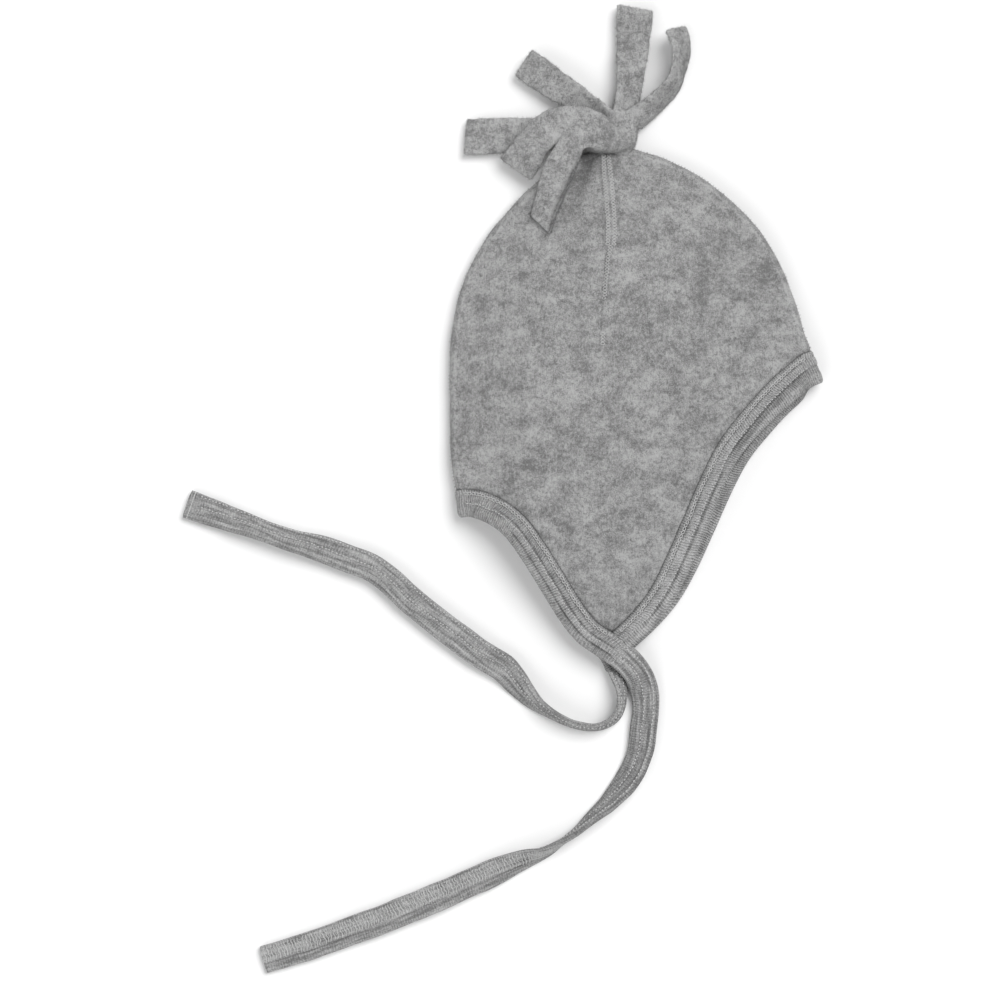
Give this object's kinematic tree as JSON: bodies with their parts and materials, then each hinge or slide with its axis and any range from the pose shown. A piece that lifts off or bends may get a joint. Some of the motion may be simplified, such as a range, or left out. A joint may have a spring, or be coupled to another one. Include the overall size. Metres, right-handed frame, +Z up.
{
  "type": "baby hat",
  "caption": "Baby's soft helmet hat with ear flaps, ribbed bound edges, long ties and a topknot of knotted strips, lying flat on its side.",
  "frame": {"origin": "on the table, below the middle of the hat's box without its ties", "axes": "+X towards the brow, +Y towards the crown and topknot, +Z up from the table"},
  "size_m": [0.3006, 0.4547, 0.0257],
  "materials": {
    "fleece": "brushed wool fleece, grey melange, matt",
    "rib_knit": "fine ribbed knit binding, grey melange, matt",
    "tie_knit": "fine ribbed knit, folded and stitched flat, grey melange, matt"
  },
  "bodies": {
    "root": {"crown": "fleece", "neck_binding": "rib_knit", "face_binding": "rib_knit", "topknot": "fleece", "tie_upper": "tie_knit", "tie_lower": "tie_knit"}
  },
  "joints": []
}
